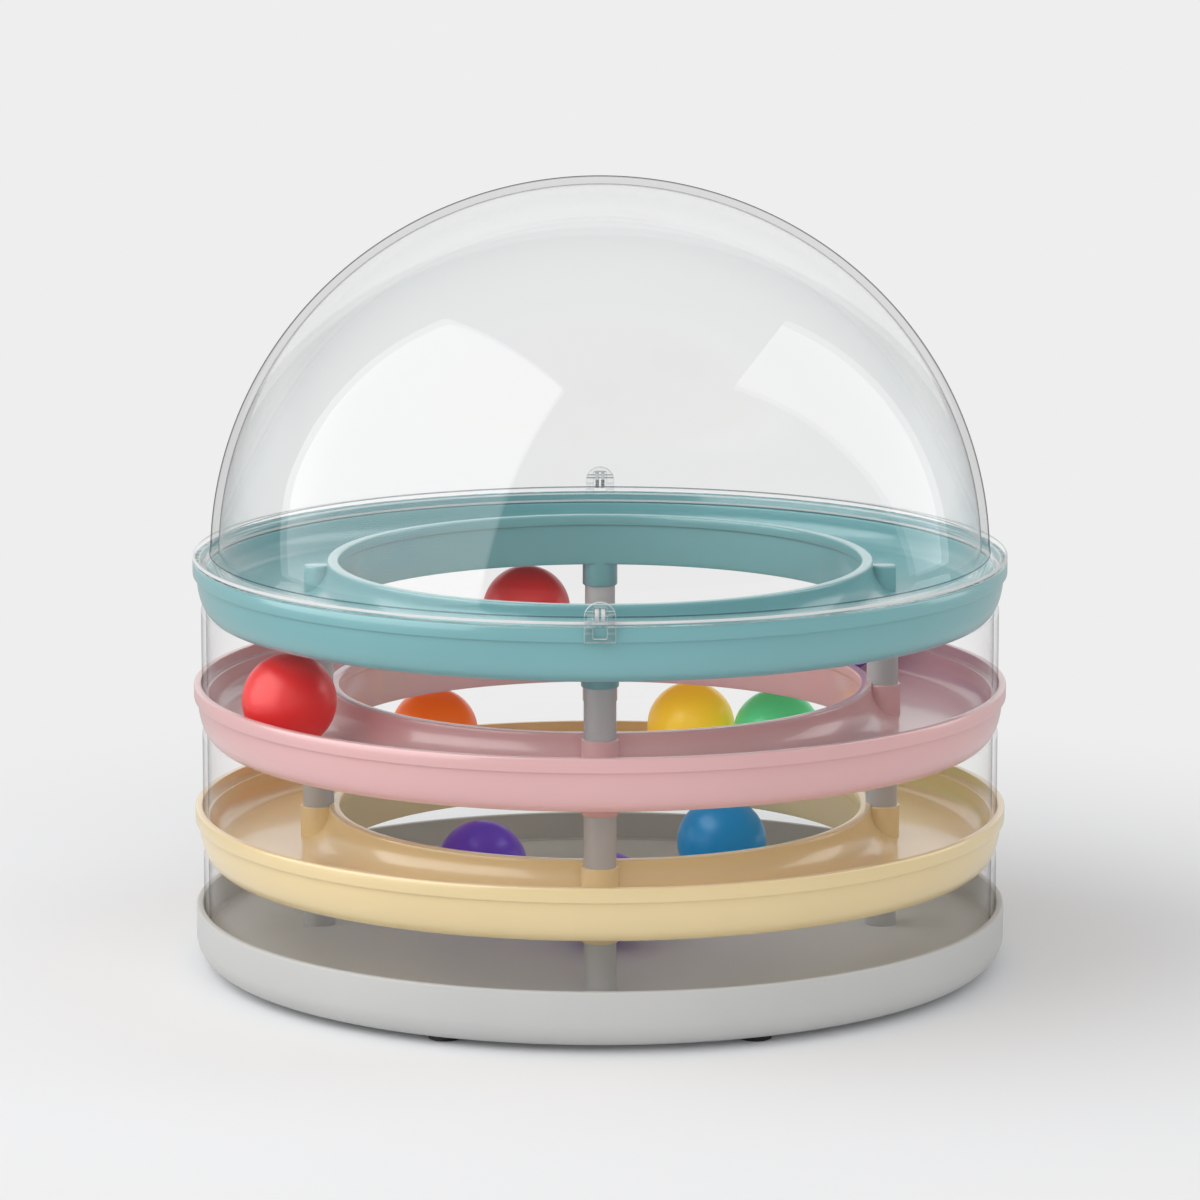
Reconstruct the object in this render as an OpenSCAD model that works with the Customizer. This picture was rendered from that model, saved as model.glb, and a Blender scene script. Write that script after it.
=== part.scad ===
// Cat ball track tower: three ring tracks stacked on a round base tray, with clear walls
// between the levels, a clear lift-off dome on top and nine loose balls.
// Millimetres, +Z up. The origin is on the floor, in the middle, under the feet.
// The front of the tower faces -Y.

/* [Tower] */

// Outer diameter of the base tray and of every track
tower_d = 300; // [270:1:340]
// Height from one track's rim to the next track's rim
tier_pitch = 46; // [44:0.5:56]
// Height from the base tray's rim to the lowest track's rim
first_pitch = 37; // [32:0.5:48]
// Small rounding on the rims
edge_r = 0.8; // [0.3:0.1:1.2]

/* [Tracks] */

// Height of a track from its underside to its rim
track_h = 20.5; // [19:0.5:22]
// Height of the raised band round the rim
band_h = 5.4; // [4.5:0.1:7]
// How far the band stands out past the skirt below it
band_step = 1.4; // [0.6:0.1:2]
// How far the skirt curves in on its way down
skirt_round = 7; // [5:0.5:8]
// Width of the lip between the hole and the rolling channel
lip_w = 4.1; // [3.5:0.1:5]
// How far the lip stops short of the rim
lip_drop = 1; // [0.5:0.1:2]
// Height of the small band on the hole side of the lip
hole_band_h = 4; // [3:0.1:6]
// How far that band stands out into the hole
hole_band_step = 0.8; // [0.4:0.1:1.2]
// How far the wall round the hole curves away on its way down
hole_round = 0.8; // [0.4:0.1:4]
// Depth of the rolling channel under the rim
channel_depth = 14; // [13:0.5:14.5]
// Distance from the channel's outer wall to the outside of the tower
rim_w = 5.4; // [5.2:0.1:6.5]
// Radius of the hollow between the channel's floor and its outer wall
outer_cove_r = 7; // [4:0.5:8]
// Radius of the hollow between the channel's floor and the lip
inner_cove_r = 11; // [6:0.5:12]
// Thickness of the channel's floor
web_t = 2.5; // [2:0.1:3.5]
// Width of the two edges under a track, either side of its hollow
under_edge_w = 2.2; // [1.8:0.1:3]

/* [Base tray] */

// Height of the tray from its underside to its rim
base_h = 21; // [20:0.5:26]
// Thickness of the tray's floor inside its standing ring
base_floor_t = 3.5; // [3:0.1:5]
// Width of the solid ring that the tray stands on
base_ring_w = 55; // [53:1:70]
// Rounding round the underside
base_round = 10; // [6:0.5:12]
// Depth of the ledge that the lowest clear wall stands on, under the rim
base_seat = 10; // [5:0.5:10]
// How far the tray's floor lies under that ledge
floor_step = 0.4; // [0.3:0.1:2]

/* [Feet] */

// Diameter of a rubber foot
foot_d = 12; // [8:0.5:14]
// Height of the feet under the tray
foot_h = 2; // [1:0.1:4]
// How far a foot is let into the tray
foot_inset = 1; // [0.5:0.1:1.5]
// Distance from a foot's middle to the outside of the tray
foot_edge = 15.5; // [15:0.5:40]
// Angle of the front and rear feet from the middle plane
foot_angle = 24; // [15:1:40]

/* [Posts] */

// Diameter of a post
post_d = 11.6; // [10:0.1:12]
// Wall of the sockets and collars that hold the posts
socket_wall = 0.9; // [0.8:0.05:1.4]
// How far a socket's top lies under the rim
socket_drop = 2.1; // [2:0.1:4]
// Depth of a socket
socket_depth = 9; // [6:0.5:9.5]
// How far a collar's lower end lies under the rim
collar_reach = 29.4; // [25:0.1:30]
// Distance between a collar and the wall round the hole
collar_margin = 0.3; // [0.2:0.1:3]
// How far the lowest posts are let into the tray's floor
post_sink = 5; // [3:0.5:7]
// Chamfer on the ends of posts, collars and feet
post_chamfer = 0.5; // [0.2:0.1:0.8]
// Diameter of the closed caps on the top track
cap_d = 9.5; // [6:0.5:11]
// How far a cap's top lies under the rim
cap_drop = 3.7; // [3:0.1:6]

/* [Clear walls and dome] */

// Thickness of a clear wall
sleeve_t = 1.8; // [1.5:0.1:2.2]
// How far a clear wall's inside is set back from the channel's outer wall
sleeve_setback = 0.7; // [0.3:0.1:1]
// Depth of the ledge that a clear wall stands on, under a track's rim
seat_depth = 4; // [3:0.1:4.5]
// Width of the flange round the dome
flange_w = 6.5; // [6:0.1:14]
// Height of the dome above the top track's rim
dome_rise = 139.5; // [110:0.5:145]
// Thickness of the dome
dome_t = 3; // [2:0.1:4]
// Thickness of the flange round the dome
flange_t = 2; // [1.5:0.1:3]
// Thickness of the pad inside the dome's skirt behind a clip
pad_t = 1.3; // [0.8:0.1:1.4]

/* [Clips] */

// Width of a clip
clip_w = 11; // [10:0.5:14]
// Thickness of a clip
clip_t = 2.4; // [2.2:0.1:3]
// How far a clip stops short of the lower edge of the band behind it
clip_foot_rise = 0.4; // [0:0.1:1]
// Width of the slot in a clip
slot_w = 4.8; // [4.6:0.1:6]
// Height of the bar under the slot
clip_bar_h = 1.4; // [1:0.1:2]
// Width of the top of the arch over the slot
clip_arch_h = 1.9; // [1.5:0.1:2.2]
// Diameter of the pin that a clip swings on
pin_d = 1.6; // [1.4:0.1:2]
// Height of the pin above the dome's flange
pin_rise = 3.5; // [3.2:0.1:3.8]
// Thickness of one of the two ears that hold the pin
ear_t = 1.4; // [1:0.1:1.6]
// Radius of the round head of an ear
ear_r = 1.6; // [1.5:0.05:1.7]
// Gap between the two ears
ear_split = 0.8; // [0.5:0.1:1]
// How far an ear's foot reaches in from the pin
ear_back = 3.6; // [3:0.1:5]
// How far the ears are sunk into the flange
ear_sink = 0.3; // [0.2:0.1:0.8]
// Number of grip ribs on each side of a clip
rib_count = 3; // [1:1:4]
// Height of a grip rib
rib_h = 0.5; // [0.3:0.1:0.8]
// How far a grip rib stands out
rib_proud = 0.35; // [0.2:0.05:0.6]
// Height of the lowest rib above the clip's lower end
rib_start = 3.2; // [2:0.1:4]
// Height from one rib to the next
rib_pitch = 2; // [1.4:0.1:2.2]
// Distance from a rib's ends to the edges of the clip
rib_margin = 0.3; // [0.2:0.1:0.8]
// How far a pin's ends lie inside the clip's sides
pin_inset = 0.3; // [0:0.1:1]

/* [Balls] */

// Diameter of a ball
ball_d = 34.2; // [30:0.1:34.4]
// Angles from +X of the balls on the pink track: front red, rear red, violet
pink_ball_angles = [209, 103, 43]; // [0:0.5:360]
// Angles from +X of two balls on the yellow track: orange, yellow
yellow_ball_angles = [120.4, 73.8]; // [0:0.2:360]
// Gap between the yellow ball and the green ball to its right
green_ball_gap = 2.3; // [0.3:0.1:40]
// Angle from +X of the blue ball in the base tray
blue_ball_angle = 53.4; // [0:0.1:360]
// Angle from +X of the violet ball at the left of the base tray
low_ball_angle = 155; // [0:0.5:360]
// Distance of that violet ball from the middle
low_ball_r = 49; // [44:0.5:60]
// Angle from +X of the violet ball behind the front post
front_ball_angle = 273.8; // [0:0.1:360]
// Distance of that violet ball from the middle
front_ball_r = 33.2; // [30:0.1:40]

/* [Fits] */

// Gap all round a post in its socket
post_gap = 0.05; // [0.02:0.01:0.1]
// Gap all round a clear wall in its rim
sleeve_gap = 0.25; // [0.15:0.05:0.35]
// Gap between a clear wall's top and the skirt that it stands under
sleeve_top_gap = 0.3; // [0.2:0.1:0.6]
// Gap all round the dome's skirt in its rim
dome_gap = 0.35; // [0.3:0.05:0.4]
// Gap under the dome's skirt
skirt_gap = 0.4; // [0.3:0.1:0.8]
// Gap between a clip and the band behind it
clip_gap = 0.4; // [0.3:0.1:0.8]
// Gap between a clip and its pin
pin_gap = 0.05; // [0.04:0.01:0.1]
// Gap all round a pin in its ears
pin_fit = 0.01; // [0.005:0.005:0.02]
// Gap between the round heads of the ears and the arch of a clip
arch_gap = 0.3; // [0.2:0.1:0.6]
// Gap all round a foot in its pocket
foot_gap = 0.05; // [0.02:0.01:0.1]
// Gap under a ball
ball_gap = 0.2; // [0.1:0.05:0.3]
// Gap between a ball and a post, and between a ball and a clear wall, as it rolls by
ball_side_gap = 0.4; // [0.3:0.1:2]
// Gap between the blue ball in the base tray and the hole over it
ball_hole_gap = 1.4; // [1:0.1:10]

/* [Hidden] */

$fn = 96;
eps = 0.01;
arc_steps = 10;
dome_steps = 28;
// How far a cut runs past the face that it opens
over = 1;
EAR_SPAN = [-45, 143];

ball_r = ball_d / 2;
post_r = post_d / 2;
bore_r = post_r + post_gap;
socket_r = bore_r + socket_wall;
socket_floor = socket_drop + socket_depth;
post_top = channel_depth + web_t;
web_mid = channel_depth + web_t / 2;

tower_r = tower_d / 2;
base_rim = foot_h + base_h;
base_floor = base_rim - base_seat - floor_step;
base_ball_z = base_floor + ball_gap + ball_r;
yellow_rim = base_rim + first_pitch;
pink_rim = yellow_rim + tier_pitch;
teal_rim = pink_rim + tier_pitch;
base_post_foot = base_floor - post_sink;

channel_r = tower_r - rim_w;
sleeve_in_r = channel_r + sleeve_setback;
sleeve_out_r = sleeve_in_r + sleeve_t;
rebate_r = sleeve_out_r + sleeve_gap;
skirt_out_r = rebate_r - dome_gap;
skirt_top_r = tower_r - band_step;
skirt_foot_r = skirt_top_r - skirt_round;
skirt_h = track_h - band_h;

// A ball just passes between the posts and the clear wall, and the hole lies inside the posts.
path_r = sleeve_in_r - ball_side_gap - ball_r;
post_ring_r = path_r - ball_r - ball_side_gap - post_r;
hole_wall_r = post_ring_r - socket_r - collar_margin;
hole_r = hole_wall_r - hole_band_step;
lip_out_r = hole_r + lip_w;
hollow_in_r = hole_wall_r + hole_round + under_edge_w;
hollow_out_r = skirt_foot_r - under_edge_w;
base_ring_r = tower_r - base_ring_w;
foot_ring_r = tower_r - foot_edge;
blue_ball_r = hole_r - ball_hole_gap - ball_r;
dome_r = tower_r - flange_w;

// The hollows in the channel and in the tray are no taller than the walls beside them.
outer_cove = min(outer_cove_r, channel_depth - seat_depth - edge_r);
inner_cove = min(inner_cove_r, channel_depth - lip_drop - 2 * edge_r);
base_cove = min(outer_cove_r, floor_step - eps);

// A wall stops where the skirt of the track above is as narrow as the wall's inside.
sleeve_turn = acos((sleeve_in_r - sleeve_top_gap - skirt_foot_r) / skirt_round);
sleeve_top_drop = band_h + skirt_h * sin(sleeve_turn);

flange_top = teal_rim + flange_t;
clip_in_r = tower_r + clip_gap;
clip_mid_r = clip_in_r + clip_t / 2;
clip_foot = teal_rim - band_h + clip_foot_rise;
pin_z = flange_top + pin_rise;
clip_top = pin_z + ear_r + arch_gap + clip_arch_h;

track_ball_z = ball_r + ball_gap - channel_depth;
green_ball_angle = yellow_ball_angles[1] - 2 * asin((ball_d + green_ball_gap) / 2 / path_r);

teal = [0.43, 0.63, 0.65];
pink = [0.82, 0.65, 0.65];
yellow = [0.85, 0.77, 0.59];
light_grey = [0.72, 0.72, 0.71];
post_grey = [0.64, 0.64, 0.64];
rubber_black = [0.1, 0.1, 0.1];
clear = [0.9, 0.93, 0.95, 0.3];
red = [0.83, 0.28, 0.26];
orange = [0.9, 0.48, 0.2];
gold = [0.9, 0.68, 0.15];
green = [0.3, 0.72, 0.42];
blue = [0.12, 0.5, 0.7];
violet = [0.38, 0.25, 0.62];

POST_ANGLES = [270, 180, 90, 0];
FOOT_ANGLES = [270 - foot_angle, 270 + foot_angle, 0, 90 - foot_angle, 90 + foot_angle, 180];
POST_LEVELS = [
  ["lower", base_post_foot, yellow_rim - post_top],
  ["middle", yellow_rim - socket_floor, pink_rim - post_top],
  ["upper", pink_rim - socket_floor, teal_rim - post_top],
];
SLEEVES = [
  ["lower", base_rim - base_seat, yellow_rim - sleeve_top_drop],
  ["middle", yellow_rim - seat_depth, pink_rim - sleeve_top_drop],
  ["upper", pink_rim - seat_depth, teal_rim - sleeve_top_drop],
];
// Each ball: its name, colour, distance from the middle, angle from +X and height.
BALLS = [
  ["ball_red_front", red, path_r, pink_ball_angles[0], pink_rim + track_ball_z],
  ["ball_red_rear", red, path_r, pink_ball_angles[1], pink_rim + track_ball_z],
  ["ball_violet_high", violet, path_r, pink_ball_angles[2], pink_rim + track_ball_z],
  ["ball_orange", orange, path_r, yellow_ball_angles[0], yellow_rim + track_ball_z],
  ["ball_yellow", gold, path_r, yellow_ball_angles[1], yellow_rim + track_ball_z],
  ["ball_green", green, path_r, green_ball_angle, yellow_rim + track_ball_z],
  ["ball_blue", blue, blue_ball_r, blue_ball_angle, base_ball_z],
  ["ball_violet_low", violet, low_ball_r, low_ball_angle, base_ball_z],
  ["ball_violet_front", violet, front_ball_r, front_ball_angle, base_ball_z],
];

// Points of an arc, or of part of an ellipse when the two radii differ.
function arc(cx, cy, rx, ry, from, to, steps = arc_steps) =
  [for (i = [0 : steps]) let (a = from + (to - from) * i / steps) [cx + rx * cos(a), cy + ry * sin(a)]];

// Section of a track, with its rim at height 0.
function track_section() = concat(
  arc(skirt_foot_r, -band_h, skirt_round, skirt_h, -90, 0),
  [[tower_r, -band_h]],
  arc(tower_r - edge_r, -edge_r, edge_r, edge_r, 0, 90, 4),
  [[rebate_r, 0], [rebate_r, -seat_depth], [channel_r, -seat_depth]],
  arc(channel_r - outer_cove, outer_cove - channel_depth, outer_cove, outer_cove, 0, -90),
  arc(lip_out_r + inner_cove, inner_cove - channel_depth, inner_cove, inner_cove, -90, -180),
  arc(lip_out_r - edge_r, -lip_drop - edge_r, edge_r, edge_r, 0, 90, 4),
  arc(hole_r + edge_r, -lip_drop - edge_r, edge_r, edge_r, 90, 180, 4),
  [[hole_r, -lip_drop - hole_band_h]],
  arc(hole_wall_r + hole_round, -lip_drop - hole_band_h, hole_round,
    track_h - lip_drop - hole_band_h, 180, 270),
  [[hollow_in_r, -track_h], [hollow_in_r, -post_top], [hollow_out_r, -post_top], [hollow_out_r, -track_h]]
);

// Section of the base tray at its real height.
function base_section() = concat(
  [[0, base_floor - base_floor_t], [base_ring_r, base_floor - base_floor_t], [base_ring_r, foot_h]],
  arc(tower_r - base_round, foot_h + base_round, base_round, base_round, -90, 0),
  arc(tower_r - edge_r, base_rim - edge_r, edge_r, edge_r, 0, 90, 4),
  [[rebate_r, base_rim], [rebate_r, base_rim - base_seat], [channel_r, base_rim - base_seat]],
  arc(channel_r - base_cove, base_floor + base_cove, base_cove, base_cove, 0, -90),
  [[0, base_floor]]
);

// Section of the dome, its flange and its skirt, with the top track's rim at height 0.
function dome_section() = concat(
  arc(0, 0, dome_r - dome_t, dome_rise - dome_t, 0, 90, dome_steps),
  arc(0, 0, dome_r, dome_rise, 90, asin(flange_t / dome_rise), dome_steps),
  arc(tower_r - edge_r, flange_t - edge_r, edge_r, edge_r, 90, 0, 4),
  [[tower_r, 0], [skirt_out_r, 0], [skirt_out_r, skirt_gap - seat_depth]],
  [[sleeve_in_r, skirt_gap - seat_depth], [sleeve_in_r, 0]]
);

// Places a copy of the children at each post.
module at_posts() {
  for (a = POST_ANGLES) rotate(a) translate([post_ring_r, 0, 0]) children();
}

// A tube or rod whose lower end has a small chamfer.
module collar(radius, z_low, z_high) {
  translate([0, 0, z_low]) cylinder(h = post_chamfer, r1 = radius - post_chamfer / 2, r2 = radius);
  translate([0, 0, z_low + post_chamfer - eps])
    cylinder(h = z_high - z_low - post_chamfer + eps, r = radius);
}

// A ring track. The top one has closed caps where the others have sockets for the next posts.
module track(rim, capped) {
  translate([0, 0, rim]) difference() {
    union() {
      rotate_extrude() polygon(track_section());
      at_posts() collar(socket_r, -collar_reach, capped ? -web_mid : -socket_drop);
      if (capped)
        at_posts() translate([0, 0, -cap_drop]) mirror([0, 0, 1])
          collar(cap_d / 2, 0, web_mid - cap_drop);
    }
    at_posts() translate([0, 0, -collar_reach - over])
      cylinder(h = collar_reach + over - post_top, r = bore_r);
    if (!capped)
      at_posts() translate([0, 0, -socket_floor]) cylinder(h = socket_floor + over, r = bore_r);
  }
}

module yellow_track() color(yellow) track(yellow_rim, false);

module pink_track() color(pink) track(pink_rim, false);

module teal_track() color(teal) track(teal_rim, true);

// The base tray, with sockets in its floor for the lowest posts and pockets for the feet.
module base_tray() color(light_grey) difference() {
  rotate_extrude() polygon(base_section());
  at_posts() translate([0, 0, base_post_foot]) cylinder(h = post_sink + over, r = bore_r);
  for (i = [0 : len(FOOT_ANGLES) - 1]) foot_place(i) cylinder(h = foot_h + foot_inset, r = foot_d / 2);
}

module foot_place(i) rotate(FOOT_ANGLES[i]) translate([foot_ring_r, 0, 0]) children();

// A rubber foot, pressed into its pocket.
module foot(i) color(rubber_black) foot_place(i)
  collar(foot_d / 2 - foot_gap, 0, foot_h + foot_inset);

// A post from one level's socket up to the next level's collar.
module post(level, i) color(post_grey)
  rotate(POST_ANGLES[i]) translate([post_ring_r, 0, 0]) {
    mid = (level[1] + level[2]) / 2;
    collar(post_r, level[1], mid);
    translate([0, 0, level[2]]) mirror([0, 0, 1]) collar(post_r, 0, level[2] - mid);
  }

// A clear cylindrical wall between two levels.
module sleeve(s) color(clear) translate([0, 0, s[1]]) difference() {
  cylinder(h = s[2] - s[1], r = sleeve_out_r);
  translate([0, 0, -over]) cylinder(h = s[2] - s[1] + 2 * over, r = sleeve_in_r);
}

// Turns the children so that their +X points out at the front, or at the rear.
module at_clip(rear) rotate(rear ? 90 : -90) children();

// A cylinder along the pin's line, for the pin itself and for every bore on it.
module along_pin(length, radius) translate([clip_mid_r, 0, pin_z])
  rotate([90, 0, 0]) cylinder(h = length, r = radius, center = true);

// Two ears on the flange that hold a clip's pin.
module ears() {
  web = concat(
    [[clip_mid_r - ear_back, flange_top - ear_sink], [tower_r - edge_r, flange_top - ear_sink]],
    arc(clip_mid_r, pin_z, ear_r, ear_r, EAR_SPAN[0], EAR_SPAN[1], 1)
  );
  for (side = [-1, 1]) translate([0, side * (ear_split + ear_t) / 2, 0]) {
    along_pin(ear_t, ear_r);
    rotate([90, 0, 0]) linear_extrude(ear_t, center = true) polygon(web);
  }
}

// The clear dome with its flange, skirt, ears and the pads behind the clips.
module dome() color(clear) difference() {
  union() {
    translate([0, 0, teal_rim]) rotate_extrude() polygon(dome_section());
    for (rear = [false, true]) at_clip(rear) {
      ears();
      translate([sleeve_in_r - pad_t, -clip_w / 2, teal_rim + skirt_gap - seat_depth])
        cube([pad_t + sleeve_t / 2, clip_w, seat_depth - skirt_gap + flange_t / 2]);
    }
  }
  for (rear = [false, true]) at_clip(rear) along_pin(clip_w, pin_d / 2);
}

// A clip: an arched plate with a slot that clears the ears, and ribs to grip it by.
module clip(rear) color(clear) at_clip(rear) {
  half = clip_w / 2;
  leg_w = (clip_w - slot_w) / 2;
  difference() {
    translate([clip_in_r, 0, 0]) rotate([90, 0, 90]) linear_extrude(clip_t) difference() {
      union() {
        translate([-half, clip_foot]) square([clip_w, clip_top - half - clip_foot]);
        translate([0, clip_top - half]) circle(half);
      }
      translate([-slot_w / 2, clip_foot + clip_bar_h])
        square([slot_w, clip_top - clip_arch_h - clip_foot - clip_bar_h]);
    }
    along_pin(clip_w + 2 * over, pin_d / 2 + pin_gap);
  }
  for (side = [-1, 1], i = [0 : rib_count - 1])
    translate([clip_in_r + clip_t - eps, side * (slot_w + leg_w) / 2, clip_foot + rib_start + i * rib_pitch])
      translate([0, rib_margin - leg_w / 2, 0]) cube([rib_proud + eps, leg_w - 2 * rib_margin, rib_h]);
}

// The pin that a clip swings on.
module clip_pin(rear) color(clear) at_clip(rear) along_pin(clip_w - 2 * pin_inset, pin_d / 2 - pin_fit);

module ball(b) color(b[1]) rotate(b[3]) translate([b[2], 0, b[4]]) sphere(d = ball_d);

base_tray();
yellow_track();
pink_track();
teal_track();
for (i = [0 : len(FOOT_ANGLES) - 1])
  foot(i);
for (level = POST_LEVELS, i = [0 : len(POST_ANGLES) - 1])
  post(level, i);
for (s = SLEEVES)
  sleeve(s);
dome();
clip(false);  // front_clip
clip(true);  // rear_clip
clip_pin(false);  // front_clip_pin
clip_pin(true);  // rear_clip_pin
for (b = BALLS)
  ball(b);
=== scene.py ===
import math

import bmesh
import bpy
from mathutils import Matrix, Vector


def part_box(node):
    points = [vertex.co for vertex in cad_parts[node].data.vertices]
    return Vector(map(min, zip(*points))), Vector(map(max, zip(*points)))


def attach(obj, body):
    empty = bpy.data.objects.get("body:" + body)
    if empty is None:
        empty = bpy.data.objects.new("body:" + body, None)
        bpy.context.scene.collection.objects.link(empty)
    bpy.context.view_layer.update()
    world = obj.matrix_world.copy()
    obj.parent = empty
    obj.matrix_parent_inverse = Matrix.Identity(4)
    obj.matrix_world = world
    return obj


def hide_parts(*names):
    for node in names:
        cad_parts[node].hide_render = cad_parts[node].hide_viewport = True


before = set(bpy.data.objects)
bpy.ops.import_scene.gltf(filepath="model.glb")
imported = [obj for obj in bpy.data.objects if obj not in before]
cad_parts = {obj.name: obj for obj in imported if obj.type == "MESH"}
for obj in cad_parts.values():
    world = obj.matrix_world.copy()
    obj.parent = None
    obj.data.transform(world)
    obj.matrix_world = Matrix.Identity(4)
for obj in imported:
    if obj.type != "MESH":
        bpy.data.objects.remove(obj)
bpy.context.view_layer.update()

# Sizes in metres and counts, the same as the solids have
MM = 0.001
TOWER_R = 150 * MM
TRACK_H = 20.5 * MM
BAND_H = 5.4 * MM
BAND_STEP = 1.4 * MM
SKIRT_ROUND = 7 * MM
HOLE_R = 96.5 * MM
LIP_W = 4.1 * MM
LIP_DROP = 1 * MM
HOLE_BAND_H = 4 * MM
HOLE_BAND_STEP = 0.8 * MM
HOLE_ROUND = 0.8 * MM
CHANNEL_DEPTH = 14 * MM
RIM_W = 5.4 * MM
OUTER_COVE_R = 7 * MM
INNER_COVE_R = 11 * MM
WEB_T = 2.5 * MM
UNDER_EDGE_W = 2.2 * MM
SEAT_DEPTH = 4 * MM
BASE_FLOOR_T = 3.5 * MM
BASE_ROUND = 10 * MM
BASE_SEAT = 10 * MM
BASE_RING_W = 55 * MM
FLOOR_STEP = 0.4 * MM
FOOT_COUNT = 6
FOOT_R = 6 * MM
FOOT_GAP = 0.05 * MM
LEVELS = ("lower", "middle", "upper")
POST_COUNT = 4
POST_SINK = 5 * MM
POST_R = 5.8 * MM
POST_RING_R = 104.5 * MM
POST_GAP = 0.05 * MM
SOCKET_WALL = 0.9 * MM
SOCKET_DROP = 2.1 * MM
SOCKET_DEPTH = 9 * MM
COLLAR_REACH = 29.4 * MM
CAP_R = 4.75 * MM
CAP_DROP = 3.7 * MM
SLEEVE_SETBACK = 0.7 * MM
SLEEVE_T = 1.8 * MM
SLEEVE_GAP = 0.25 * MM
DOME_GAP = 0.35 * MM
SKIRT_GAP = 0.4 * MM
DOME_R = 143.5 * MM
DOME_T = 3 * MM
FLANGE_T = 2 * MM
CLIP_W = 11 * MM
CLIP_T = 2.4 * MM
CLIP_GAP = 0.4 * MM
SLOT_W = 4.8 * MM
CLIP_BAR_H = 1.4 * MM
CLIP_ARCH_H = 1.9 * MM
PIN_R = 0.8 * MM
PIN_RISE = 3.5 * MM
PIN_INSET = 0.3 * MM
PIN_FIT = 0.01 * MM
EAR_T = 1.4 * MM
EAR_R = 1.6 * MM
EAR_SPLIT = 0.8 * MM
EAR_BACK = 3.6 * MM
EAR_SINK = 0.3 * MM

# Radii of rounded edges and inner corners
EDGE_R = 0.8 * MM
BAND_EDGE_R = 0.5 * MM
BAND_CORNER_R = 0.25 * MM
SEAT_EDGE_R = 0.4 * MM
SEAT_CORNER_R = 0.3 * MM
HOLE_EDGE_R = 0.4 * MM
HOLE_CORNER_R = 0.2 * MM
UNDER_EDGE_R = 0.4 * MM
UNDER_CORNER_R = 0.6 * MM
BASE_SEAT_EDGE_R = 0.5 * MM
FLOOR_EDGE_R = 0.15 * MM
FLOOR_CORNER_R = 0.2 * MM
DOME_LOW_EDGE_R = 0.2 * MM
SKIRT_EDGE_R = 0.3 * MM
SKIRT_CORNER_R = 0.15 * MM
FLANGE_LOW_EDGE_R = 0.3 * MM
DOME_FOOT_R = 0.2 * MM
DOME_FOOT_W = 0.4 * MM
SLEEVE_EDGE_R = 0.4 * MM
COLLAR_EDGE_R = 0.6 * MM
SOCKET_EDGE_R = 0.35 * MM
CAP_EDGE_R = 0.8 * MM
FOOT_EDGE_R = 0.7 * MM
POST_EDGE_R = 0.4 * MM
PIN_EDGE_R = 0.2 * MM
WINDOW_LOW_R = 0.4 * MM
WINDOW_TOP_R = 0.6 * MM
CLIP_BEVEL = 0.4 * MM
EAR_BEVEL = 0.1 * MM

# Trim that only the scene has: grip ribs on the clips and a seam round each ball
RIB_COUNT = 3
RIB_SHARE = 0.8
RIB_H = 0.5 * MM
RIB_DEPTH = 0.7 * MM
RIB_EDGE_R = 0.2 * MM
RIB_BEVEL = 0.1 * MM
RIB_START = 3.2 * MM
RIB_STEP = 2 * MM
SEAM_DEPTH = 0.02 * MM
SEAM_HALF_DEG = 0.15

# Sizes that follow
CHANNEL_R = TOWER_R - RIM_W
SLEEVE_IN_R = CHANNEL_R + SLEEVE_SETBACK
SLEEVE_OUT_R = SLEEVE_IN_R + SLEEVE_T
REBATE_R = SLEEVE_OUT_R + SLEEVE_GAP
SKIRT_TOP_R = TOWER_R - BAND_STEP
SKIRT_FOOT_R = SKIRT_TOP_R - SKIRT_ROUND
LIP_OUT_R = HOLE_R + LIP_W
HOLE_WALL_R = HOLE_R + HOLE_BAND_STEP
HOLLOW_IN_R = HOLE_WALL_R + HOLE_ROUND + UNDER_EDGE_W
HOLLOW_OUT_R = SKIRT_FOOT_R - UNDER_EDGE_W
BORE_R = POST_R + POST_GAP
SOCKET_R = BORE_R + SOCKET_WALL
POST_TOP = CHANNEL_DEPTH + WEB_T
CLIP_LEG_W = (CLIP_W - SLOT_W) / 2

# Heights from the frame
BASE_LOW, BASE_RIM = (corner.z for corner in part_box("base_tray"))
TRACK_RIM = {colour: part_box(f"{colour}_track")[1].z for colour in ("yellow", "pink", "teal")}
TEAL_RIM = TRACK_RIM["teal"]
DOME_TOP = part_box("dome")[1].z
DOME_RISE = DOME_TOP - TEAL_RIM
BASE_FLOOR = BASE_RIM - BASE_SEAT - FLOOR_STEP
FLANGE_TOP = TEAL_RIM + FLANGE_T
CLIP_LOW, CLIP_HIGH = (corner.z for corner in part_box("front_clip"))
PIN_Z = FLANGE_TOP + PIN_RISE
CLIP_IN_R = TOWER_R + CLIP_GAP
PIN_OUT_R = CLIP_IN_R + CLIP_T / 2

# Spans of arcs in degrees
SKIRT_SPAN = (-90, -4)
HOLE_SPAN = (184, 270)
EAR_SPAN = (-45, 143)

# The sides with a clip, and the turn in degrees from +X to each
CLIP_SIDES = {"front": -90, "rear": 90}

# The photograph's camera
PHOTO_PX = 1200
FOCAL_PX = 5902
SENSOR_MM = 36
CAMERA_TARGET = Vector((0, 0, 0.135))
CAMERA_DISTANCE = 2.18
CAMERA_ELEVATION = math.radians(10.1)
CAMERA_FAR = 100
# How many clear faces a ray of light may cross
CLEAR_LAYERS = 32

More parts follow.
